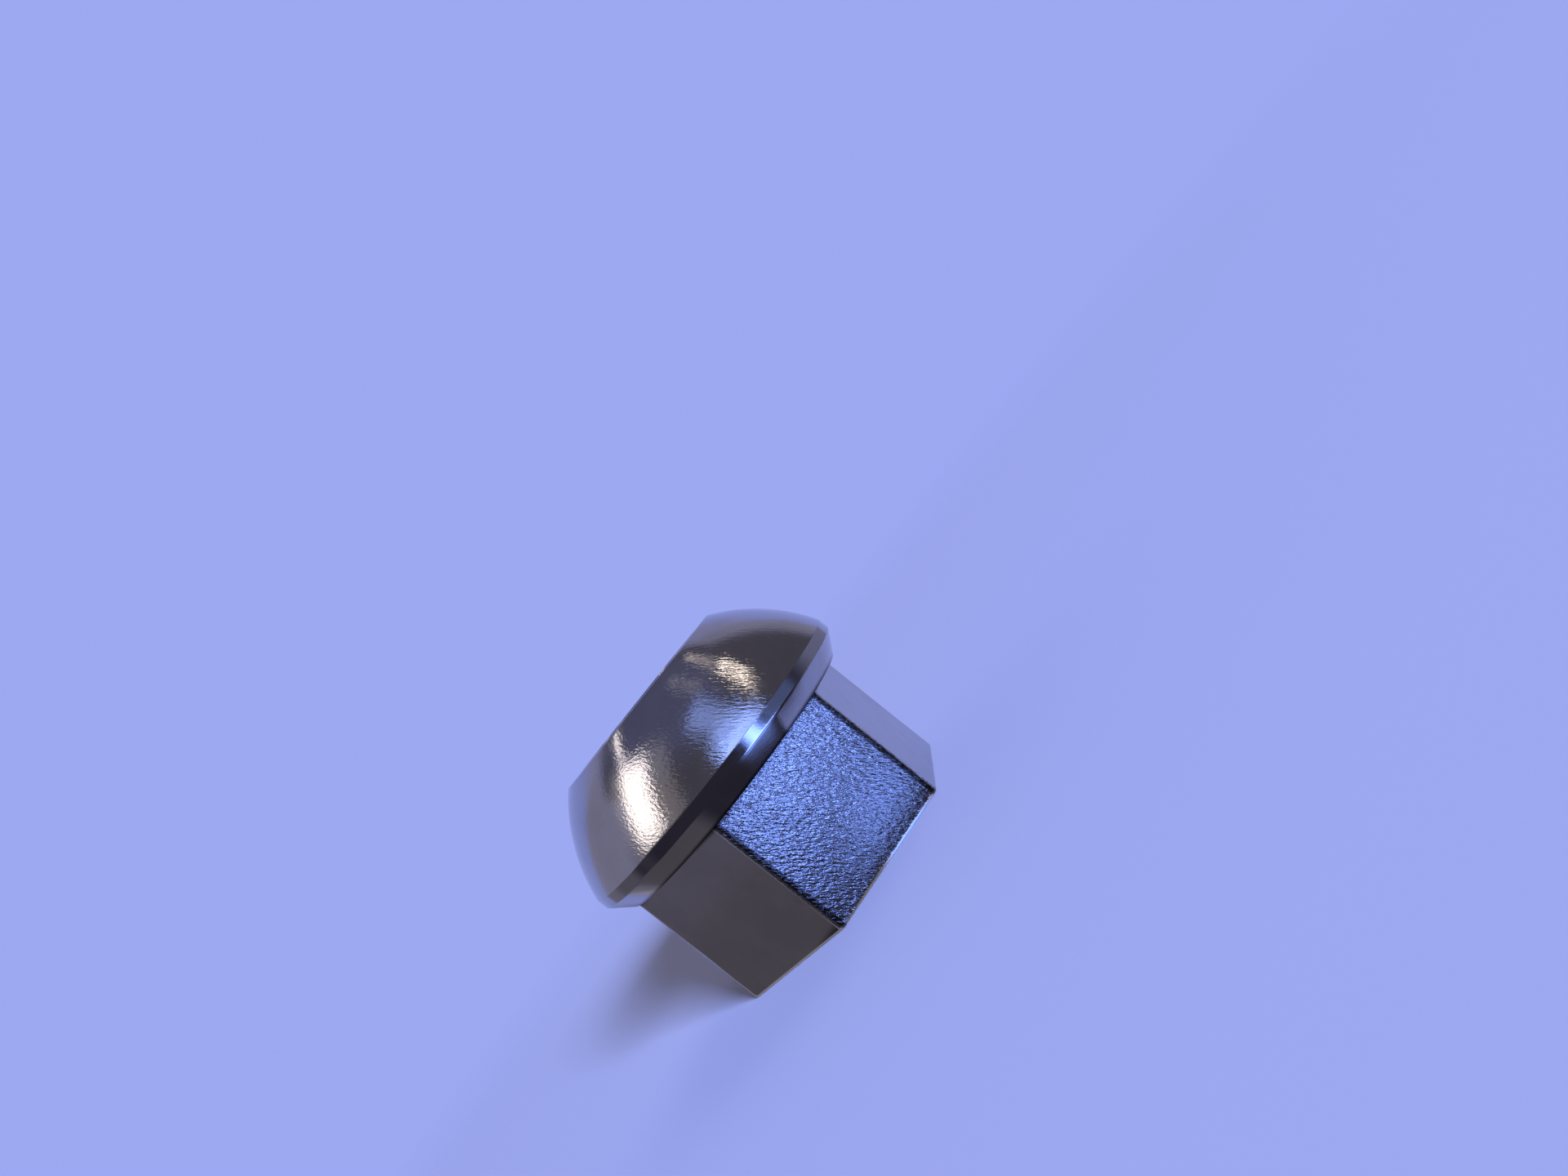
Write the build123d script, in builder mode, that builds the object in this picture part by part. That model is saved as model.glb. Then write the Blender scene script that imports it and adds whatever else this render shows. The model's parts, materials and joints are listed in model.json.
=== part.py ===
"""Ball-seat wheel nut: a hexagon, a round collar with a bevelled back, and a spherical seat."""
from build123d import *
import os
from math import radians, sqrt, tan

# Hexagon, in millimetres like every length here
across_flats = 19.0
hex_height = 10.3
hex_corner_round = 0.4
hex_end_chamfer = 0.2

# Collar, from its flat back face up to the ball seat
collar_bevel_height = 1.4
collar_bevel_width = 1.2
collar_band_height = 0.8
collar_edge_round = 0.15

# Ball seat: its sphere's centre lies this far below the band's upper edge, which sets the collar's width
seat_radius = 13.0
seat_centre_depth = 4.2

# The flat small end cuts the sphere off
small_end_diameter = 15.3
small_end_edge_round = 0.2

# Threaded bore; the countersink at each end opens a little wider than the thread
thread_diameter = 12.0
thread_pitch = 1.5
entry_margin = 0.4
entry_angle = 90.0

# Heights and radii that follow from those above
bevel_top = hex_height + collar_bevel_height
seat_start = bevel_top + collar_band_height
seat_centre = seat_start - seat_centre_depth
collar_radius = sqrt(seat_radius**2 - seat_centre_depth**2)
back_face_radius = collar_radius - collar_bevel_width
small_end_radius = small_end_diameter / 2
overall_height = seat_centre + sqrt(seat_radius**2 - small_end_radius**2)

# A metric thread is 5/8 of its sharp triangle deep, and the plain bore is cut at its crests
sharp_thread_height = thread_pitch * sqrt(3) / 2
bore_radius = thread_diameter / 2 - sharp_thread_height * 5 / 8
entry_radius = thread_diameter / 2 + entry_margin
entry_depth = (entry_radius - bore_radius) / tan(radians(entry_angle / 2))

os.makedirs("parts", exist_ok=True)

with BuildPart() as nut:
    # The hexagon stands on its driven end, with two flats square to Y
    with BuildSketch() as hexagon:
        RegularPolygon(radius=across_flats / 2, side_count=6, major_radius=False)
        fillet(hexagon.vertices(), radius=hex_corner_round)
    extrude(amount=hex_height)
    driven_end = nut.faces().sort_by(Axis.Z)[0]
    chamfer(driven_end.edges(), length=hex_end_chamfer)

    # The collar and the seat are one turned profile, from the back face to the small end
    with BuildSketch(Plane.XZ) as turned_profile:
        with BuildLine():
            back_face = Line((0, hex_height), (back_face_radius, hex_height))
            bevel = Line(back_face @ 1, (collar_radius, bevel_top))
            band = Line(bevel @ 1, (collar_radius, seat_start))
            seat = RadiusArc(band @ 1, (small_end_radius, overall_height), -seat_radius)
            small_end = Line(seat @ 1, (0, overall_height))
            Line(small_end @ 1, back_face @ 0)
        make_face()
        band_corners = turned_profile.vertices().group_by(Axis.X)[-1]
        fillet(band_corners, radius=collar_edge_round)
        small_end_corner = turned_profile.vertices().group_by(Axis.Y)[-1].sort_by(Axis.X)[-1]
        fillet(small_end_corner, radius=small_end_edge_round)
    revolve(axis=Axis.Z)

    # The bore goes right through, and each end has a countersink of its own
    with Locations(Plane.XY.offset(overall_height), -Plane.XY):
        CounterSinkHole(bore_radius, counter_sink_radius=entry_radius, counter_sink_angle=entry_angle)

nut.part.label = "nut"
export_step(nut.part, "parts/nut.step")

print(f"bore radius {bore_radius:.4f}, plain wall {overall_height - 2 * entry_depth:.4f}")
print(f"overall height {overall_height:.4f}, collar diameter {2 * collar_radius:.4f}")
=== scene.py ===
"""Ball-seat wheel nut: the finished steel nut with its cut thread, on a plain pale floor in soft light."""
import json
from math import atan2, cos, pi, radians, sin, sqrt, tan

import bmesh
import bpy
from bpy.props import FloatProperty, FloatVectorProperty, IntProperty, PointerProperty
from mathutils import Matrix, Quaternion, Vector, noise


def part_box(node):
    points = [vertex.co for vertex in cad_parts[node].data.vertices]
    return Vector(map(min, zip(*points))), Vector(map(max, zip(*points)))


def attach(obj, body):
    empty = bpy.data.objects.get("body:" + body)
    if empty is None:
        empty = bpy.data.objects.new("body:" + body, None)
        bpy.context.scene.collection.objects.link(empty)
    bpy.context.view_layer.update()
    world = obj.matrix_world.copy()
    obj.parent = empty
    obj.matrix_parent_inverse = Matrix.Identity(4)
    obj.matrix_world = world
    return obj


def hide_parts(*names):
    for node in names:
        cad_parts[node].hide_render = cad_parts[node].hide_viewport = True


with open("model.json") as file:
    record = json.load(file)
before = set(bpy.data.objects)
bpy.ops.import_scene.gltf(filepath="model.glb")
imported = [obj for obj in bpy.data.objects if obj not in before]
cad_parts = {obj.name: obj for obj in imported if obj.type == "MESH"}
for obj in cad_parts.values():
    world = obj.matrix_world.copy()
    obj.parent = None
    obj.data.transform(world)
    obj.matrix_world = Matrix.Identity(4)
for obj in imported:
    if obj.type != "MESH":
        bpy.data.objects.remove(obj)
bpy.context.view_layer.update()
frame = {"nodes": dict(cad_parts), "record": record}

bl_info = {
    "name": "Ball-Seat Wheel Nut",
    "version": (1, 0, 0),
    "blender": (4, 5, 0),
    "location": "3D View > Sidebar > Wheel Nut",
    "description": "Makes a steel wheel nut with a bevelled collar, a ball seat and a cut thread",
    "category": "Object",
}

MM = 0.001
HEX_SIDES = 6
HALF_SIDE = radians(180 / HEX_SIDES)

# The rough flat faces this way, in degrees round the nut
ROUGH_SIDE = -30

# Mesh rows along the profile's stretches
HEX_STEPS = 40
SEAT_STEPS = 44
FACE_STEPS = 6
BAND_STEPS = 6
ROUND_STEPS = 5
END_STEPS = 4
BACK_STEPS = 3
SOFT_STEPS = 3

# Points closer than the first are joined, and edges shorter than the second are taken out
JOIN_DISTANCE = 0.0015 * MM
SLIVER = 0.0005 * MM

# The frame gives the height, the collar and the bore
nut_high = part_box("nut")[1]
bore_facts = next(m["dims"] for m in frame["record"]["mounts"] if m["name"] == "thread")
bore_radius = bore_facts["r_mm"] * MM
entry_depth = (nut_high.z - bore_facts["length_mm"] * MM) / 2


def length(name, millimetres, description):
    """A length property whose default is written in millimetres."""
    return FloatProperty(
        name=name, default=millimetres * MM, min=0, unit="LENGTH", precision=5, description=description
    )


def colour(name, default, description):
    """A colour property, in linear values."""
    return FloatVectorProperty(
        name=name, default=default, size=3, min=0, max=1, subtype="COLOR", description=description
    )


def brightness(name, default, description):
    """A brightness, where one is as bright as plain white."""
    return FloatProperty(name=name, default=default, min=0, description=description)


def share(name, default, description):
    """A property from zero to one."""
    return FloatProperty(
        name=name, default=default, min=0, max=1, subtype="FACTOR", description=description
    )


class NutSizes(bpy.types.PropertyGroup):
    """Sizes of the nut, in the frame's own metres."""

    overall_height: length("Overall height", nut_high.z / MM, "From the driven end to the small end")
    across_flats: length("Across flats", 19, "Hexagon, flat to flat")
    hex_height: length("Hexagon height", 10.3, "From the driven end to the collar's back face")
    hex_corner_round: length("Corner round", 0.4, "Radius on the hexagon's six corners")
    hex_end_round: length("End round", 0.2, "Rounded edge of the driven end")
    collar_radius: length("Collar radius", nut_high.x / MM, "From the axis to the collar's band")
    bevel_height: length("Bevel height", 1.4, "Height of the collar's bevelled back")
    bevel_width: length("Bevel width", 1.2, "How far the bevel runs in from the band")
    band_height: length("Band height", 0.8, "Height of the collar's straight band")
    collar_edge_round: length("Collar edge round", 0.15, "Radius on both edges of the band")
    seat_radius: length("Seat radius", 13, "Radius of the ball seat")
    small_end_radius: length("Small end radius", 7.65, "Radius of the flat small end")
    small_end_edge_round: length("Small end edge round", 0.2, "Radius where the seat meets the small end")
    bore_radius: length("Bore radius", bore_radius / MM, "From the axis to the thread's crests")
    entry_depth: length("Entry depth", entry_depth / MM, "Depth of each countersink")
    thread_pitch: length("Thread pitch", 1.5, "Climb of the thread in one turn")
    columns: IntProperty(name="Columns", default=240, min=48, description="Mesh columns round the nut")
    crowding: share("Crowding", 0.8, "How far the columns crowd together at the hexagon's corners")
    turn_rows: IntProperty(
        name="Rows a turn", default=16, min=16, description="Mesh rows in one turn of thread"
    )
    waviness: length("Waviness", 0.012, "How uneven the forged flats are")
    burr_height: length("Burr height", 0.07, "Height of the burr at one corner of the driven end")


class SteelFinish(bpy.types.PropertyGroup):
    """Colours and textures of the steel."""

    steel: colour("Steel", (0.44, 0.43, 0.44), "Clean satin steel")
    dull_steel: colour("Dull steel", (0.40, 0.39, 0.40), "Where the finish is dulled")
    # Painted shade: a near-black laid under the collar and beside the rough flat's corners, standing in for
    # the shade the steel mirrors there
    painted_shade: colour("Painted shade", (0.035, 0.03, 0.03), "Painted shade under the collar and beside the rough flat's corners")
    worn_edge: colour("Worn edge", (0.66, 0.65, 0.66), "Bright metal on the worn edges")
    roughness: share("Roughness", 0.1, "Of the satin steel")
    ripple_length: length("Ripple length", 0.16, "From one ripple to the next")
    ripple_stretch: share("Ripple stretch", 0.22, "Width of a ripple as a share of its run")
    ripple_height: length("Ripple height", 0.1, "Of the ripples on the roughest flat")
    grain_length: length("Grain length", 0.11, "Size of the fine grain")
    grain_height: length("Grain height", 0.0016, "Of the fine grain")


class StudioSettings(bpy.types.PropertyGroup):
    """Floor, lamps and camera."""

    backdrop: colour("Backdrop", (0.335, 0.4, 0.89), "Floor and backdrop")
    floor_colour: colour("Floor colour", (0.5, 0.49, 0.49), "Of the floor near the nut")
    ceiling: colour("Ceiling", (0.13, 0.138, 0.25), "The dim room above")
    dim_wall: colour("Dim wall", (0.105, 0.1, 0.135), "The dim room, and the wall in front of the nut")
    side_wall: colour("Side wall", (0.33, 0.325, 0.49), "Both ends of the dim wall")
    floor_radius: length("Floor radius", 500, "The floor is a disc")
    upper_wall: colour("Upper wall", (0.36, 0.37, 0.66), "Upper backdrop beside the nut, in less light")
    front_card: colour("Front card", (0.036, 0.033, 0.052), "Dark card in front of the nut")
    end_card: colour("End card", (0.24, 0.25, 0.42), "Right end of the card")
    dim_card: colour("Dim card", (0.13, 0.17, 0.38), "Upper edge of the card, right of the blue stretch")
    side_card: colour("Side card", (0.13, 0.12, 0.15), "Card beside the left flat")
    high_side_card: colour("High side card", (0.155, 0.145, 0.2), "The same card higher up")
    foot_card: colour("Foot card", (0.45, 0.44, 0.5), "Strip of the card at the nut's foot")
    left_end_card: colour("Left end card", (0.22, 0.215, 0.3), "Left end of the card")
    window_card: colour("Window card", (0.195, 0.33, 1), "Blue stretch of the card, by the rough flat")
    key_tint: colour("Key tint", (0.31, 0.405, 1), "Of the small lamp that gives the floor its shadow")
    fill_tint: colour("Fill tint", (0.4, 0.39, 0.6), "Of the broad lamp over the floor")
    warm_light: colour("Warm light", (1, 0.9, 0.84), "Of the tall window")
    amber_light: colour("Amber light", (1, 0.87, 0.72), "Of the long tube")
    blue_light: colour("Blue light", (0.28, 0.42, 1), "Of the blue window")
    window_light: brightness("Window light", 4.7, "Of the card's blue stretch")
    reflector_radius: length("Reflector radius", 33, "From the axis to the upright part of the card")
    reflector_height: length("Reflector height", 13.5, "Height of the upright part of the card")
    key_light: brightness("Key light", 366, "Of the small lamp that gives the floor its shadow")
    fill_light: brightness("Fill light", 2.8, "Of the broad lamp over the floor")
    lens: FloatProperty(
        name="Lens", default=30.4965, min=1, unit="CAMERA", description="Focal length, in millimetres"
    )


def column_angles(sizes):
    """Angles of the mesh columns, which crowd together at the hexagon's corners."""
    turns = (2 * pi * column / sizes.columns for column in range(sizes.columns))
    return [turn - sizes.crowding / HEX_SIDES * sin(HEX_SIDES * turn) for turn in turns]


def hexagon_reach(angle, apothem, corner_round):
    """Distance from the axis to a round-cornered hexagon that has a corner at angle zero."""
    off_corner = abs((angle + HALF_SIDE) % (2 * HALF_SIDE) - HALF_SIDE)
    centre = (apothem - corner_round) / cos(HALF_SIDE)
    tangent = atan2(corner_round * sin(HALF_SIDE), centre + corner_round * cos(HALF_SIDE))
    if off_corner > tangent:
        return apothem / cos(HALF_SIDE - off_corner)
    return centre * cos(off_corner) + sqrt(corner_round**2 - (centre * sin(off_corner)) ** 2)


def evenly(first, last, steps):
    """Values from first to last, both included."""
    return [first + (last - first) * step / steps for step in range(steps + 1)]


def rounded_corner(before, corner, after, radius, steps):
    """Points of the arc that rounds one corner of a profile."""
    before, corner, after = Vector(before), Vector(corner), Vector(after)
    inward, onward = (before - corner).normalized(), (after - corner).normalized()
    half_angle = inward.angle(onward) / 2
    setback = radius / tan(half_angle)
    centre = corner + (inward + onward).normalized() * (radius / sin(half_angle))
    start, end = corner + inward * setback - centre, corner + onward * setback - centre
    return [tuple(centre + start.slerp(end, part) * radius) for part in evenly(0, 1, steps)]


def turned_profile(sizes):
    """(radius, height) points of the collar and the seat, from the back face to the small end."""
    bevel_top = sizes.hex_height + sizes.bevel_height
    seat_start = bevel_top + sizes.band_height
    start_angle = pi / 2 - atan2(sizes.collar_radius, sqrt(sizes.seat_radius**2 - sizes.collar_radius**2))
    centre_height = seat_start - sizes.seat_radius * sin(start_angle)
    end_angle = pi / 2 - atan2(sizes.small_end_radius, sizes.overall_height - centre_height)
    back_corner = (sizes.collar_radius - sizes.bevel_width, sizes.hex_height)
    lower_corner = (sizes.collar_radius, bevel_top)
    upper_corner = (sizes.collar_radius, seat_start)
    seat = [
        (sizes.seat_radius * cos(angle), centre_height + sizes.seat_radius * sin(angle))
        for angle in evenly(start_angle, end_angle, SEAT_STEPS)
    ]
    end_corner = (sizes.small_end_radius, sizes.overall_height)
    bevel = evenly(0, 0.9, BAND_STEPS)
    points = [tuple(Vector(back_corner).lerp(Vector(lower_corner), part)) for part in bevel]
    points += rounded_corner(back_corner, lower_corner, upper_corner, sizes.collar_edge_round, ROUND_STEPS)
    points += [(sizes.collar_radius, height) for height in evenly(bevel_top, seat_start, BAND_STEPS)[1:-1]]
    points += rounded_corner(lower_corner, upper_corner, seat[1], sizes.collar_edge_round, SOFT_STEPS)
    points += seat[1:-1]
    axis_end = (0, sizes.overall_height)
    points += rounded_corner(seat[-2], end_corner, axis_end, sizes.small_end_edge_round, ROUND_STEPS)
    return points


def skin_rings(sizes):
    """Rings of the nut's skin, each (how much of it is hexagon, circle radius, apothem, height)."""
    apothem = sizes.across_flats / 2
    entry_radius = sizes.bore_radius + sizes.entry_depth
    edge = sizes.hex_end_round
    rings = [(part, entry_radius, apothem - edge, 0) for part in evenly(0, 1, FACE_STEPS)]
    rings += [
        (1, 0, apothem - edge + edge * sin(angle), edge - edge * cos(angle))
        for angle in evenly(0, pi / 2, ROUND_STEPS)[1:]
    ]
    side_heights = evenly(edge, sizes.hex_height, HEX_STEPS)[1:]
    rings += [(1, 0, apothem, height) for height in side_heights]
    profile = turned_profile(sizes)
    rings += [(part, profile[0][0], apothem, sizes.hex_height) for part in evenly(1, 0, BACK_STEPS)[1:-1]]
    rings += [(0, radius, 0, height) for radius, height in profile]
    last_radius = profile[-1][0]
    end_radii = evenly(last_radius, entry_radius, END_STEPS)[1:]
    rings += [(0, radius, 0, sizes.overall_height) for radius in end_radii]
    return rings


def smooth_step(low, high, value):
    """Zero below low, one above high, and a smooth climb between them."""
    part = min(max((value - low) / (high - low), 0), 1)
    return part * part * (3 - 2 * part)


def worn(point, sizes):
    """Where a point of the hexagon ends up on the uneven, knocked forging."""
    apothem = sizes.across_flats / 2
    on_side = smooth_step(0.985 * apothem, apothem, Vector((point.x, point.y)).length)
    on_side *= smooth_step(0, 4 * sizes.hex_end_round, point.z)
    on_side *= 1 - smooth_step(0.9 * sizes.hex_height, sizes.hex_height, point.z)
    outward = Vector((point.x, point.y, 0)).normalized()
    broad, narrow = 3.2 * MM, 1.1 * MM
    swell = noise.noise(point / broad) + 0.4 * noise.noise(point / narrow)
    return point + outward * (swell - 0.5) * sizes.waviness * on_side


def burr(point, sizes):
    """Height of the burr that a tool left at the driven end, beside one corner."""
    facing = radians(ROUGH_SIDE)
    flat_normal = Vector((cos(facing), sin(facing), 0))
    along = point.dot(Vector((-sin(facing), cos(facing), 0))) / MM
    near_end = 1 - smooth_step(0.1 * MM, 0.45 * MM, point.z)
    on_flat = smooth_step(0.975, 0.99, point.dot(flat_normal) / (sizes.across_flats / 2))
    in_stretch = smooth_step(-5.6, -5.2, along) * (1 - smooth_step(-3.6, -2.9, along))
    lump_size = 0.22 * MM
    lumps = abs(noise.noise(point / lump_size)) + 0.35
    return sizes.burr_height * lumps * near_end * on_flat * in_stretch


def skin_mesh(sizes):
    """The nut's skin, open at the mouths of its two countersinks."""
    angles = column_angles(sizes)
    mesh = bmesh.new()
    rows = []
    for hexagon_part, circle_radius, apothem, height in skin_rings(sizes):
        row = []
        for angle in angles:
            reach = circle_radius
            if hexagon_part:
                hexagon = hexagon_reach(angle, apothem, sizes.hex_corner_round)
                reach += (hexagon - circle_radius) * hexagon_part
            point = Vector((reach * cos(angle), reach * sin(angle), height))
            if hexagon_part == 1 and height < 0.99 * sizes.hex_height:
                point = worn(point, sizes)
                point += Vector((cos(angle), sin(angle), 0)) * burr(point, sizes)
            row.append(mesh.verts.new(point))
        rows.append(row)
    for lower, upper in zip(rows, rows[1:]):
        for column in range(sizes.columns):
            following = (column + 1) % sizes.columns
            mesh.faces.new((lower[column], lower[following], upper[following], upper[column]))
    skin = bpy.data.meshes.new("skin")
    mesh.to_mesh(skin)
    mesh.free()
    return skin


class Nodes:
    """Adds nodes to one tree, from left to right, and links their inputs."""

    def __init__(self, tree):
        self.tree = tree
        self.count = 0

    def add(self, kind, inputs=(), settings=(), label=""):
        """One node with its settings and inputs, each input a value or another node's output."""
        node = self.tree.nodes.new(kind)
        node.location = (200 * (self.count % 12), -260 * (self.count // 12))
        node.label = label
        self.count += 1
        for name, value in dict(settings).items():
            setattr(node, name, value)
        for key, value in dict(inputs).items():
            if isinstance(value, bpy.types.NodeSocket):
                self.tree.links.new(value, node.inputs[key])
            else:
                node.inputs[key].default_value = value
        return node

    def math(self, operation, *values, label="", clamp=False):
        """The output of a Math node."""
        kind = "ShaderNodeMath"
        settings = {"operation": operation, "use_clamp": clamp}
        return self.add(kind, enumerate(values), settings, label).outputs[0]

    def product(self, first, *others, label=""):
        """All the values multiplied."""
        for other in others:
            first = self.math("MULTIPLY", first, other, label=label)
        return first

    def total(self, first, *others, label=""):
        """All the values added up."""
        for other in others:
            first = self.math("ADD", first, other, label=label)
        return first

    def grain(self, vector, size, detail=2.0, rough=0.5):
        """Noise whose features are about that size."""
        inputs = {"Vector": vector, "Scale": 1 / size, "Detail": detail, "Roughness": rough}
        return self.add("ShaderNodeTexNoise", inputs).outputs["Fac"]

    def towards(self, vector, angle):
        """How far a vector reaches in one direction, square to the nut's axis; the angle is in degrees."""
        direction = (cos(radians(angle)), sin(radians(angle)), 0)
        settings = {"operation": "DOT_PRODUCT"}
        return self.add("ShaderNodeVectorMath", {0: vector, 1: direction}, settings).outputs["Value"]

    def ramp(self, value, low, high, label=""):
        """Zero where value is low, one where it is high, with a smooth climb between."""
        inputs = {"Value": value, "From Min": low, "From Max": high}
        settings = {"interpolation_type": "SMOOTHSTEP"}
        return self.add("ShaderNodeMapRange", inputs, settings, label).outputs["Result"]

    def blend(self, factor, first, second, label=""):
        """The second colour laid over the first."""
        node = self.add("ShaderNodeMix", {"Factor": factor}, {"data_type": "RGBA"}, label)
        both = [socket for socket in node.inputs if socket.name in ("A", "B") and socket.type == "RGBA"]
        for socket, value in zip(both, (first, second)):
            if isinstance(value, bpy.types.NodeSocket):
                self.tree.links.new(value, socket)
            else:
                socket.default_value = value
        return next(socket for socket in node.outputs if socket.type == "RGBA")


THREAD_INPUTS = {
    "Bore Radius": ("NodeSocketFloat", "bore_radius"),
    "Entry Depth": ("NodeSocketFloat", "entry_depth"),
    "Pitch": ("NodeSocketFloat", "thread_pitch"),
    "Height": ("NodeSocketFloat", "overall_height"),
    "Columns": ("NodeSocketInt", "columns"),
    "Rows a Turn": ("NodeSocketInt", "turn_rows"),
    "Crowding": ("NodeSocketFloat", "crowding"),
}


def thread_tree(steel):
    """Geometry Nodes that close the skin with the wall of a right-hand metric thread."""
    tree = bpy.data.node_groups.new("Cut thread", "GeometryNodeTree")
    tree.interface.new_socket("Geometry", in_out="INPUT", socket_type="NodeSocketGeometry")
    for name, (kind, _) in THREAD_INPUTS.items():
        tree.interface.new_socket(name, in_out="INPUT", socket_type=kind)
    tree.interface.new_socket("Geometry", in_out="OUTPUT", socket_type="NodeSocketGeometry")
    nodes = Nodes(tree)
    given = nodes.add("NodeGroupInput").outputs
    pitch, height, bore = given["Pitch"], given["Height"], given["Bore Radius"]

    # One row of the grid follows one line of the helix, so a whole turn joins the next one
    turns = nodes.math("ADD", nodes.math("CEIL", nodes.math("DIVIDE", height, pitch)), 2, label="Turns")
    row_gaps = nodes.math("MULTIPLY", turns, given["Rows a Turn"], label="Gaps between rows")
    grid = nodes.add(
        "GeometryNodeMeshGrid",
        {
            "Size X": 1.0,
            "Size Y": 1.0,
            "Vertices X": nodes.math("ADD", row_gaps, 1),
            "Vertices Y": nodes.math("ADD", given["Columns"], 1),
        },
    )
    place = nodes.add("ShaderNodeSeparateXYZ", {0: nodes.add("GeometryNodeInputPosition").outputs[0]})
    even_turn = nodes.math("MULTIPLY", nodes.math("ADD", place.outputs["Y"], 0.5), 2 * pi)
    wave = nodes.math("SINE", nodes.math("MULTIPLY", even_turn, HEX_SIDES))
    crowd = nodes.math("DIVIDE", given["Crowding"], HEX_SIDES)
    angle = nodes.math("SUBTRACT", even_turn, nodes.math("MULTIPLY", wave, crowd), label="Angle")
    row_turn = nodes.math("MULTIPLY", nodes.math("ADD", place.outputs["X"], 0.5), turns)
    row_turn = nodes.math("SUBTRACT", row_turn, 1, label="Turn of this row")
    climb = nodes.math("ADD", row_turn, nodes.math("DIVIDE", angle, 2 * pi))
    rise = nodes.math("MAXIMUM", nodes.math("MULTIPLY", climb, pitch), 0)
    rise = nodes.math("MINIMUM", rise, height, label="Height of this point")

    # Metric profile: 1/8 of the pitch flat at the root, 1/4 at the crest, 60 degrees between flanks
    off_root = nodes.math("ABSOLUTE", nodes.math("SUBTRACT", nodes.math("FRACT", row_turn), 0.5))
    cut = nodes.add("ShaderNodeMapRange", {"Value": off_root, "From Min": 1 / 16, "From Max": 3 / 8})
    cut.inputs["To Min"].default_value = 1
    cut.inputs["To Max"].default_value = 0
    depth = nodes.math("MULTIPLY", pitch, 5 / 8 * sqrt(3) / 2, label="Thread depth")
    thread = nodes.math("ADD", bore, nodes.math("MULTIPLY", depth, cut.outputs["Result"]))

    # The countersinks open at 45 degrees from both ends
    mouth = nodes.math("ADD", bore, given["Entry Depth"])
    low_entry = nodes.math("SUBTRACT", mouth, rise)
    high_entry = nodes.math("SUBTRACT", mouth, nodes.math("SUBTRACT", height, rise))
    entry = nodes.math("MAXIMUM", low_entry, high_entry)
    reach = nodes.math("MAXIMUM", thread, entry, label="Radius of this point")
    point = nodes.add(
        "ShaderNodeCombineXYZ",
        {
            "X": nodes.math("MULTIPLY", reach, nodes.math("COSINE", angle)),
            "Y": nodes.math("MULTIPLY", reach, nodes.math("SINE", angle)),
            "Z": rise,
        },
    )
    wall = nodes.add(
        "GeometryNodeSetPosition", {"Geometry": grid.outputs["Mesh"], "Position": point.outputs[0]}
    )
    whole = nodes.add("GeometryNodeJoinGeometry")
    tree.links.new(wall.outputs[0], whole.inputs[0])
    tree.links.new(given["Geometry"], whole.inputs[0])
    inputs = {"Geometry": whole.outputs[0], "Distance": JOIN_DISTANCE}
    closed = nodes.add("GeometryNodeMergeByDistance", inputs)
    smooth = nodes.add("GeometryNodeSetShadeSmooth", {"Geometry": closed.outputs[0]})
    real = nodes.add("GeometryNodeRealizeInstances", {"Geometry": smooth.outputs[0]})
    finish = nodes.add("GeometryNodeSetMaterial", {"Geometry": real.outputs[0], "Material": steel})
    nodes.add("NodeGroupOutput", {"Geometry": finish.outputs[0]})
    return tree


def closed_nut(sizes, steel):
    """The nut's whole mesh: its skin, with the thread's wall merged to it."""
    piece = bpy.data.objects.new("wheel_nut", skin_mesh(sizes))
    bpy.context.scene.collection.objects.link(piece)
    modifier = piece.modifiers.new("Cut thread", "NODES")
    modifier.node_group = thread_tree(steel)
    for socket in modifier.node_group.interface.items_tree:
        if socket.in_out == "INPUT" and socket.name in THREAD_INPUTS:
            modifier[socket.identifier] = getattr(sizes, THREAD_INPUTS[socket.name][1])
    graph = bpy.context.evaluated_depsgraph_get()
    whole = bpy.data.meshes.new_from_object(piece.evaluated_get(graph))
    piece.modifiers.remove(modifier)
    piece.data = whole

    mesh = bmesh.new()
    mesh.from_mesh(whole)
    bmesh.ops.dissolve_degenerate(mesh, dist=SLIVER, edges=mesh.edges)
    bmesh.ops.recalc_face_normals(mesh, faces=mesh.faces)
    if mesh.calc_volume(signed=True) < 0:
        bmesh.ops.reverse_faces(mesh, faces=mesh.faces)
    open_edges = sum(1 for edge in mesh.edges if len(edge.link_faces) != 2)
    if open_edges:
        raise RuntimeError(f"the nut's mesh isn't closed: {open_edges} open edges")
    mesh.to_mesh(whole)
    mesh.free()
    whole.set_sharp_from_angle(angle=radians(35))
    return piece


def new_material(name):
    """A material with an empty node tree, and the Nodes that fill it."""
    material = bpy.data.materials.new(name)
    material.use_nodes = True
    material.node_tree.nodes.clear()
    return material, Nodes(material.node_tree)


def on_flat(nodes, place, angle, apothem):
    """One on the flat of the hexagon that faces that way, and zero elsewhere."""
    return nodes.ramp(nodes.towards(place, angle), 0.975 * apothem, 0.985 * apothem)


def ripple_strength(nodes, place, height, below_collar, sizes):
    """How strong the ripples are: full on the rough flat, half on the flat behind it, faint elsewhere."""
    apothem = sizes.across_flats / 2
    rough_flat = nodes.product(on_flat(nodes, place, ROUGH_SIDE, apothem), below_collar, label="Rough flat")
    far_flat = nodes.product(on_flat(nodes, place, ROUGH_SIDE + 180, apothem), below_collar, 0.5)
    seat_start = sizes.hex_height + sizes.bevel_height + sizes.band_height
    on_seat = nodes.ramp(height, seat_start - 0.1 * MM, seat_start + 0.1 * MM)
    seat_front = nodes.ramp(nodes.towards(place, ROUGH_SIDE - 10), 7.6 * MM, 10 * MM)
    seat_share = nodes.product(on_seat, nodes.total(nodes.product(seat_front, 0.12), 0.06))
    strength = nodes.total(rough_flat, far_flat, seat_share)
    return nodes.math("ADD", strength, 0.03, clamp=True)


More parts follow.
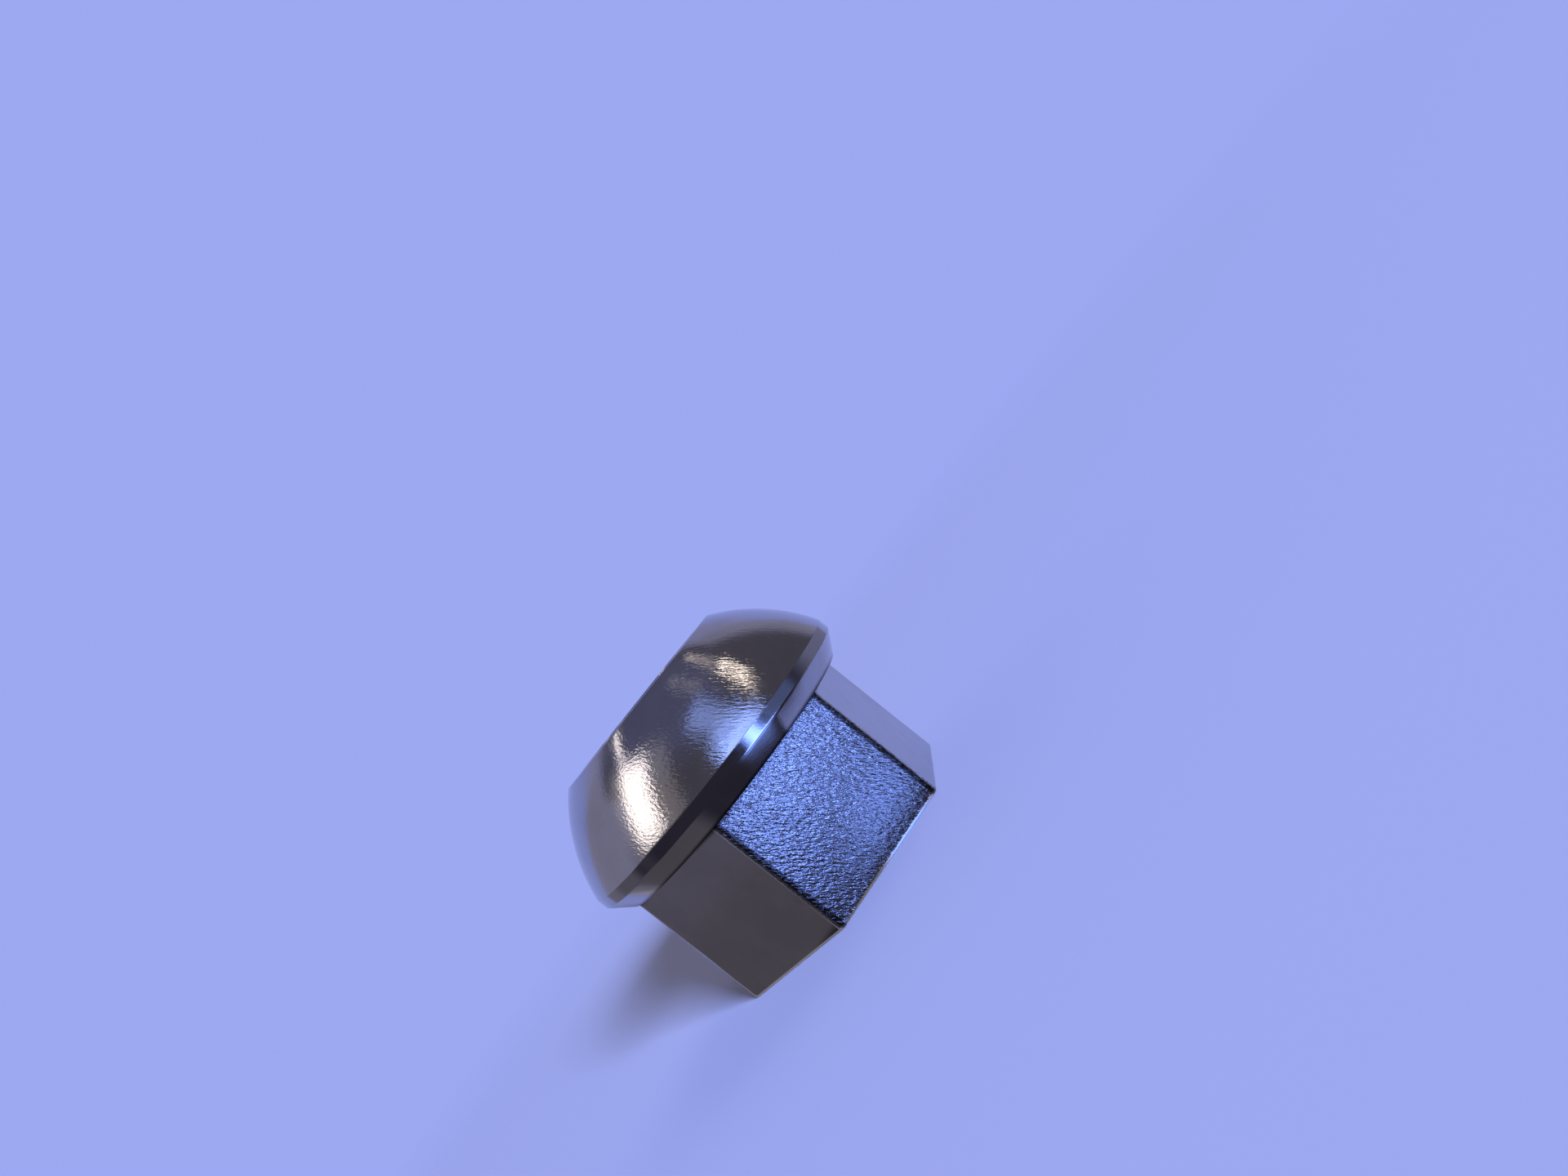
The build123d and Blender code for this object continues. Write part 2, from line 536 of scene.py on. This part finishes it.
def steel_normal(nodes, place, strength, finish):
    """Long ripples across the nut at about 51 degrees to its axis, with fine grain over them."""
    run = Vector((0.502, 0.372, -0.781)).normalized()
    across = run.orthogonal().normalized()
    turn = Matrix((run, across, run.cross(across))).to_euler()
    turned = nodes.add("ShaderNodeMapping", {"Vector": place, "Rotation": turn}).outputs[0]
    inputs = {0: turned, 1: (finish.ripple_stretch, 1, 1)}
    stretched = nodes.add("ShaderNodeVectorMath", inputs, {"operation": "MULTIPLY"}).outputs[0]
    ripples = nodes.grain(stretched, finish.ripple_length, 2.5, 0.55)
    ripple_bump = nodes.add(
        "ShaderNodeBump",
        {
            "Height": nodes.product(ripples, strength),
            "Distance": finish.ripple_height,
            "Strength": 1.0,
        },
    )
    fine_bump = nodes.add(
        "ShaderNodeBump",
        {
            "Height": nodes.grain(place, finish.grain_length, 3.0, 0.6),
            "Distance": finish.grain_height,
            "Strength": 1.0,
            "Normal": ripple_bump.outputs[0],
        },
    )
    return fine_bump.outputs[0]


def steel_colour(nodes, place, xyz, below_collar, sizes, finish):
    """Satin steel, dulled in patches, bright on its corners, with painted shade under the collar and by the
    rough flat's corners.
    """
    apothem = sizes.across_flats / 2
    flat_round = nodes.add("ShaderNodeCombineXYZ", {"X": xyz["X"], "Y": xyz["Y"]}).outputs[0]
    radius = nodes.add("ShaderNodeVectorMath", {0: flat_round}, {"operation": "LENGTH"}).outputs["Value"]
    patches = nodes.ramp(nodes.grain(place, 3.5 * MM, 3.0, 0.6), 0.38, 0.66, label="Dulled patches")
    base = nodes.blend(patches, (*finish.steel, 1), (*finish.dull_steel, 1))

    # Wear on the hexagon's six corners
    on_corner = nodes.ramp(radius, 10.8 * MM, 10.9 * MM)
    base = nodes.blend(nodes.product(on_corner, below_collar, patches), base, (*finish.worn_edge, 1))

    # Painted shade in the inner corner under the collar: a dark band over the flats' tops, the back face
    # and the bevel's foot
    painted_shade = nodes.product(
        nodes.ramp(xyz["Z"], sizes.hex_height - 0.35 * MM, sizes.hex_height),
        nodes.ramp(xyz["Z"], sizes.hex_height + 0.3 * MM, sizes.hex_height),
    )
    base = nodes.blend(painted_shade, base, (*finish.painted_shade, 1))

    # Painted shade in a line beside each corner of the rough flat, standing in for the dark its corners
    # mirror
    off_middle = nodes.math("ABSOLUTE", nodes.towards(place, ROUGH_SIDE + 90))
    line = nodes.product(
        nodes.ramp(off_middle, 5.0 * MM, 5.16 * MM),
        nodes.ramp(off_middle, 5.5 * MM, 5.36 * MM),
        nodes.ramp(nodes.towards(place, ROUGH_SIDE), 0.96 * apothem, 0.97 * apothem),
        below_collar,
        0.85,
    )
    return nodes.blend(line, base, (*finish.painted_shade, 1))


def steel_material(sizes, finish):
    """Satin steel with a rippled flat, painted shade in its corners and bright worn edges."""
    material, nodes = new_material("Satin steel")
    place = nodes.add("ShaderNodeTexCoord").outputs["Object"]
    xyz = nodes.add("ShaderNodeSeparateXYZ", {0: place}).outputs
    below_collar = nodes.ramp(xyz["Z"], sizes.hex_height + 0.02 * MM, sizes.hex_height - 0.02 * MM)
    strength = ripple_strength(nodes, place, xyz["Z"], below_collar, sizes)
    roughness = nodes.add(
        "ShaderNodeMapRange",
        {
            "Value": nodes.grain(place, 1.7 * MM, 4.0, 0.65),
            "From Min": 0.3,
            "From Max": 0.7,
            "To Min": finish.roughness - 0.03,
            "To Max": finish.roughness + 0.05,
        },
    )
    shader = nodes.add(
        "ShaderNodeBsdfPrincipled",
        {
            "Base Color": steel_colour(nodes, place, xyz, below_collar, sizes, finish),
            "Metallic": 1.0,
            "Roughness": roughness.outputs["Result"],
            "Normal": steel_normal(nodes, place, strength, finish),
        },
    )
    nodes.add("ShaderNodeOutputMaterial", {"Surface": shader.outputs[0]})
    return material


class WHEELNUT_OT_make_nut(bpy.types.Operator):
    """Make the steel nut with its cut thread"""

    bl_idname = "wheelnut.make_nut"
    bl_label = "Make Nut"
    bl_options = {"UNDO"}

    def execute(self, context):
        sizes = context.scene.nut_sizes
        steel = steel_material(sizes, context.scene.steel_finish)
        nut = closed_nut(sizes, steel)
        frame["nodes"]["nut"].data.materials.clear()
        frame["nodes"]["nut"].data.materials.append(steel)
        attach(nut, "root")
        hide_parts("nut")
        return {"FINISHED"}


def lamp(name, direction, spread, brightness, tint, tilt=0, on_floor=False):
    """A flat far lamp for the steel to mirror, or for the floor; its direction is azimuth and elevation,
    its spread is how much of the sky it fills, and all its angles are in degrees."""
    distance = 5000 * MM
    middle = Vector((0, 0, 12 * MM))
    width, height = (2 * distance * tan(radians(angle) / 2) for angle in spread)
    light = bpy.data.lights.new(name, "AREA")
    light.shape = "RECTANGLE"
    light.size, light.size_y = width, height
    light.color = tint
    light.energy = brightness * pi * width * height
    azimuth, elevation = (radians(angle) for angle in direction)
    away = Vector((cos(azimuth) * cos(elevation), sin(azimuth) * cos(elevation), sin(elevation)))
    fixture = bpy.data.objects.new(name, light)
    fixture.location = middle + away * distance
    fixture.rotation_mode = "QUATERNION"
    fixture.rotation_quaternion = away.to_track_quat("Z", "Y") @ Quaternion((0, 0, 1), radians(tilt))
    fixture.visible_camera = False
    fixture.visible_glossy = not on_floor
    fixture.visible_diffuse = on_floor
    bpy.context.scene.collection.objects.link(fixture)


def seen_rays(nodes):
    """One for rays that show the backdrop: to the camera, or in a reflection or through glass."""
    path = nodes.add("ShaderNodeLightPath").outputs
    straight = nodes.math("MAXIMUM", path["Is Camera Ray"], path["Is Glossy Ray"])
    return nodes.math("MAXIMUM", straight, path["Is Transmission Ray"])


def floor_material(studio):
    """Plain pale floor that takes the nut's shadow and runs on into the backdrop."""
    material, nodes = new_material("Pale floor")
    place = nodes.add("ShaderNodeTexCoord").outputs["Object"]
    distance = nodes.add("ShaderNodeVectorMath", {0: place}, {"operation": "LENGTH"}).outputs["Value"]
    far = nodes.ramp(distance, 75 * MM, 190 * MM)
    lit = nodes.add("ShaderNodeBsdfDiffuse", {"Color": (*studio.floor_colour, 1)})
    plain = nodes.add("ShaderNodeEmission", {"Color": (*studio.backdrop, 1), "Strength": 1.0})
    inputs = {0: nodes.product(far, seen_rays(nodes)), 1: lit.outputs[0], 2: plain.outputs[0]}
    mixed = nodes.add("ShaderNodeMixShader", inputs)
    nodes.add("ShaderNodeOutputMaterial", {"Surface": mixed.outputs[0]})
    return material


def stage_piece(name, mesh, material):
    """An object of the stage, made from a bmesh and one material."""
    shape = bpy.data.meshes.new(name)
    mesh.to_mesh(shape)
    mesh.free()
    shape.materials.append(material)
    piece = bpy.data.objects.new(name, shape)
    bpy.context.scene.collection.objects.link(piece)
    return piece


def make_floor(studio):
    """The floor, a disc just under the nut."""
    mesh = bmesh.new()
    gap = Matrix.Translation((0, 0, -0.01 * MM))
    bmesh.ops.create_circle(mesh, cap_ends=True, radius=studio.floor_radius, segments=96, matrix=gap)
    floor = stage_piece("floor", mesh, floor_material(studio))


def card_shades(nodes, azimuth, distance, height, studio):
    """The card's own dark shades, round the nut from its left end to its right end."""
    dark = nodes.blend(nodes.ramp(azimuth, 16, 46), (*studio.front_card, 1), (*studio.end_card, 1))
    side = nodes.blend(nodes.ramp(height, 0, 6 * MM), (*studio.side_card, 1), (*studio.high_side_card, 1))
    side = nodes.blend(nodes.ramp(azimuth, -137, -147), side, (*studio.left_end_card, 1))

    # The warm grey stretch in front of the left flat reaches less far round away from the nut
    shift = nodes.product(nodes.ramp(distance, 15 * MM, 22 * MM), 34)
    warm = nodes.ramp(nodes.total(azimuth, shift), -66, -82, label="Warm grey stretch")
    dark = nodes.blend(warm, dark, side)

    # The upper edge is darker on the left, for the band, and dim blue right of the middle
    high = nodes.ramp(height, 6.5 * MM, 8.5 * MM)
    dark_edge = nodes.product(high, warm, nodes.ramp(azimuth, -125, -113), label="Dark upper edge")
    dark = nodes.blend(dark_edge, dark, (*studio.front_card, 1))
    dim = nodes.product(high, nodes.ramp(azimuth, -16, -6), nodes.ramp(azimuth, 22, 10), label="Dim blue")
    return nodes.blend(dim, dark, (*studio.dim_card, 1))


def blue_share(nodes, azimuth, distance, height, foot):
    """How blue and bright the card is: most on its upright part, then near the nut, least between."""
    narrowing = nodes.product(nodes.ramp(height, 8.2 * MM, 9.8 * MM), 6)
    left_side = nodes.ramp(nodes.math("SUBTRACT", azimuth, narrowing), -36, -25)
    right_side = nodes.ramp(nodes.total(azimuth, narrowing, narrowing), 2, -12)
    near_part = nodes.product(nodes.ramp(distance, 11.8 * MM, 15 * MM), 0.82)
    far_part = nodes.product(nodes.ramp(distance, 16 * MM, 25 * MM), -0.53)
    high_part = nodes.product(nodes.ramp(height, 3 * MM, 8 * MM), 1.7)
    raised = nodes.total(near_part, far_part, high_part, foot)
    return nodes.product(left_side, right_side, raised, label="Blue stretch")


def reflector_material(studio):
    """Dark card with one bright blue stretch, and clear over the floor beside the nut."""
    material, nodes = new_material("Reflector card")
    place = nodes.add("ShaderNodeTexCoord").outputs["Object"]
    xyz = nodes.add("ShaderNodeSeparateXYZ", {0: place}).outputs
    azimuth = nodes.product(nodes.math("ARCTAN2", xyz["Y"], xyz["X"]), 180 / pi, label="Azimuth in degrees")
    distance = nodes.add("ShaderNodeVectorMath", {0: place}, {"operation": "LENGTH"}).outputs["Value"]

    # A light strip runs along the foot of the hexagon's flats
    left, front, right = (nodes.towards(place, angle) for angle in (-90, -30, 30))
    off_flats = nodes.math("MAXIMUM", nodes.math("MAXIMUM", left, front), right)
    foot = nodes.ramp(off_flats, 9.85 * MM, 9.65 * MM, label="Strip at the nut's foot")
    dark = card_shades(nodes, azimuth, distance, xyz["Z"], studio)
    dark = nodes.blend(nodes.product(foot, 0.8), dark, (*studio.foot_card, 1))
    window = blue_share(nodes, azimuth, distance, xyz["Z"], foot)
    tint = nodes.blend(window, dark, (*studio.window_card, 1))
    strength = nodes.total(nodes.product(window, studio.window_light - 1), 1)
    card = nodes.add("ShaderNodeEmission", {"Color": tint, "Strength": strength})
    bare = nodes.product(
        nodes.ramp(xyz["Y"], 0.2 * MM, 1 * MM),
        nodes.ramp(xyz["X"], 15 * MM, 13 * MM),
        nodes.ramp(distance, 30 * MM, 28 * MM),
        label="Bare floor",
    )
    clear = nodes.add("ShaderNodeBsdfTransparent")
    mixed = nodes.add("ShaderNodeMixShader", {0: bare, 1: card.outputs[0], 2: clear.outputs[0]})
    nodes.add("ShaderNodeOutputMaterial", {"Surface": mixed.outputs[0]})
    return material


def swept_sheet(profile, angles):
    """A bmesh sheet: (radius, height) points of a profile, swept through those angles in degrees."""
    mesh = bmesh.new()
    rows = [
        [mesh.verts.new((radius * cos(turn), radius * sin(turn), height)) for radius, height in profile]
        for turn in (radians(angle) for angle in angles)
    ]
    for row, following in zip(rows, rows[1:]):
        for place in range(len(profile) - 1):
            mesh.faces.new((row[place], row[place + 1], following[place + 1], following[place]))
    return mesh


def make_reflector(studio):
    """A bent card round the front of the nut, seen only where the steel mirrors it."""
    reach, bend, top, lift = studio.reflector_radius, 5 * MM, studio.reflector_height, 0.04 * MM
    profile = [(radius, 0) for radius in evenly(6 * MM, reach - bend, 6)]
    profile += [
        (reach - bend + bend * sin(angle), bend - bend * cos(angle)) for angle in evenly(0, pi / 2, 6)[1:]
    ]
    profile += [(reach, height) for height in evenly(bend, top, 8)[1:]]
    lifted = [(radius, height + lift) for radius, height in profile]
    mesh = swept_sheet(lifted, evenly(-158, 78, 118))
    reflector = stage_piece("reflector", mesh, reflector_material(studio))
    reflector.visible_camera = False
    reflector.visible_diffuse = False
    reflector.visible_shadow = False


def dim_wall_material(studio):
    """A dim wall whose two ends are lighter."""
    material, nodes = new_material("Dim wall")
    place = nodes.add("ShaderNodeTexCoord").outputs["Object"]
    xyz = nodes.add("ShaderNodeSeparateXYZ", {0: place}).outputs
    azimuth = nodes.product(nodes.math("ARCTAN2", xyz["Y"], xyz["X"]), 180 / pi)
    ends = nodes.math("MAXIMUM", nodes.ramp(azimuth, -118, -140), nodes.ramp(azimuth, 76, 90))
    shade = nodes.blend(ends, (*studio.dim_wall, 1), (*studio.side_wall, 1))
    glow = nodes.add("ShaderNodeEmission", {"Color": shade, "Strength": 1.0})
    nodes.add("ShaderNodeOutputMaterial", {"Surface": glow.outputs[0]})
    return material


def make_dark_wall(studio):
    """A dim wall beyond the lamps, in front of the nut, that the camera doesn't see."""
    reach, low, top = 7000 * MM, -450 * MM, 7900 * MM
    mesh = swept_sheet([(reach, low), (reach, top)], evenly(-179, 98, 68))
    dark_wall = stage_piece("dark_wall", mesh, dim_wall_material(studio))
    dark_wall.visible_camera = False
    dark_wall.visible_shadow = False


def make_world(studio):
    """A pale backdrop, higher behind the nut than beside it, under a dim bluish ceiling."""
    world = bpy.data.worlds.new("Studio")
    world.use_nodes = True
    world.node_tree.nodes.clear()
    bpy.context.scene.world = world
    nodes = Nodes(world.node_tree)
    direction = nodes.add("ShaderNodeTexCoord").outputs["Generated"]
    up = nodes.add("ShaderNodeSeparateXYZ", {0: direction}).outputs["Z"]
    facing = nodes.towards(direction, ROUGH_SIDE + 180)
    rise = nodes.product(nodes.ramp(facing, 0.28, 0.55), 0.16)
    top = nodes.total(rise, 0.62, label="Top edge of the backdrop")
    above = nodes.math("SUBTRACT", up, top)
    beside = nodes.product(nodes.ramp(up, 0.3, 0.5), nodes.ramp(facing, 0.8, 0.65))
    wall = nodes.blend(beside, (*studio.backdrop, 1), (*studio.upper_wall, 1))
    room = nodes.blend(nodes.ramp(up, 0.75, 0.92), (*studio.dim_wall, 1), (*studio.ceiling, 1))
    shade = nodes.blend(nodes.ramp(above, -0.06, 0.12), wall, room)
    background = nodes.add("ShaderNodeBackground", {"Color": shade, "Strength": 1.0})
    nodes.add("ShaderNodeOutputWorld", {"Surface": background.outputs[0]})


def make_lamps(studio):
    """Two lamps for the floor, and the windows and tubes that the steel mirrors."""
    lamp("key", (-25, 17), (14, 9), studio.key_light, studio.key_tint, on_floor=True)
    lamp("fill", (70, 52), (30, 30), studio.fill_light, studio.fill_tint, on_floor=True)

    warm, amber, blue = studio.warm_light, studio.amber_light, studio.blue_light
    lamp("tall_window", (-115.5, 47.5), (20, 38), 2.6, warm, tilt=14)
    lamp("window_glow", (-108, 46), (44, 50), 0.2, warm, tilt=14)
    lamp("window_streak", (-165, 66), (20, 2), 3, warm)
    lamp("long_tube", (38, 48.5), (20, 2), 8, amber, tilt=38)
    lamp("long_tube_foot", (24, 40), (9, 2.5), 2, amber, tilt=50)
    lamp("long_tube_end", (66, 57.5), (26, 1.2), 2, amber, tilt=8)
    lamp("thin_tube", (48, 71), (22, 1), 1.1, warm, tilt=25)
    lamp("blue_window", (-18, 27), (37, 22), 2.7, blue)
    lamp("blue_window_middle", (-19, 41), (30, 12), 1.5, blue)
    lamp("blue_window_top", (-15, 56), (18, 22), 0.9, blue)


def make_camera(studio):
    """The photograph's view of the nut: near, low, and turned so that the nut's axis slants."""
    eye = Vector((68.5115, -63.8479, 19.3522)) * MM
    target = Vector((8.609, 9.238, 15.712)) * MM
    roll = radians(51.376)
    camera = bpy.data.objects.new("camera", bpy.data.cameras.new("camera"))
    camera.data.lens = studio.lens
    camera.data.sensor_width = 36
    camera.data.clip_start = 1 * MM
    camera.data.clip_end = 10
    camera.location = eye
    camera.rotation_mode = "QUATERNION"
    upright = (target - eye).to_track_quat("-Z", "Y")
    camera.rotation_quaternion = upright @ Quaternion((0, 0, 1), -roll)
    bpy.context.scene.collection.objects.link(camera)
    bpy.context.scene.camera = camera


class WHEELNUT_OT_make_stage(bpy.types.Operator):
    """Make the floor, the backdrop, the lamps and the camera"""

    bl_idname = "wheelnut.make_stage"
    bl_label = "Make Stage"
    bl_options = {"UNDO"}

    def execute(self, context):
        studio = context.scene.studio_settings
        context.scene.view_settings.view_transform = "Standard"
        make_floor(studio)
        make_world(studio)
        make_camera(studio)
        make_reflector(studio)
        make_dark_wall(studio)
        make_lamps(studio)
        return {"FINISHED"}


class WHEELNUT_PT_panel(bpy.types.Panel):
    """Buttons and sizes of the wheel nut"""

    bl_label = "Wheel Nut"
    bl_idname = "WHEELNUT_PT_panel"
    bl_space_type = "VIEW_3D"
    bl_region_type = "UI"
    bl_category = "Wheel Nut"

    def draw(self, context):
        layout = self.layout
        layout.operator("wheelnut.make_nut")
        layout.operator("wheelnut.make_stage")
        for group in (context.scene.nut_sizes, context.scene.steel_finish, context.scene.studio_settings):
            box = layout.box()
            for name in type(group).__annotations__:
                box.prop(group, name)


GROUPS = {"nut_sizes": NutSizes, "steel_finish": SteelFinish, "studio_settings": StudioSettings}
CLASSES = (*GROUPS.values(), WHEELNUT_OT_make_nut, WHEELNUT_OT_make_stage, WHEELNUT_PT_panel)


def register():
    """Make the sizes, the operators and the panel known."""
    for each in CLASSES:
        bpy.utils.register_class(each)
    for name, group in GROUPS.items():
        setattr(bpy.types.Scene, name, PointerProperty(type=group))


def unregister():
    """Take them away again."""
    for name in GROUPS:
        delattr(bpy.types.Scene, name)
    for each in reversed(CLASSES):
        bpy.utils.unregister_class(each)


def main():
    """Make the nut and the stage."""
    register()
    bpy.ops.wheelnut.make_nut()
    bpy.ops.wheelnut.make_stage()


if __name__ == "__main__":
    main()
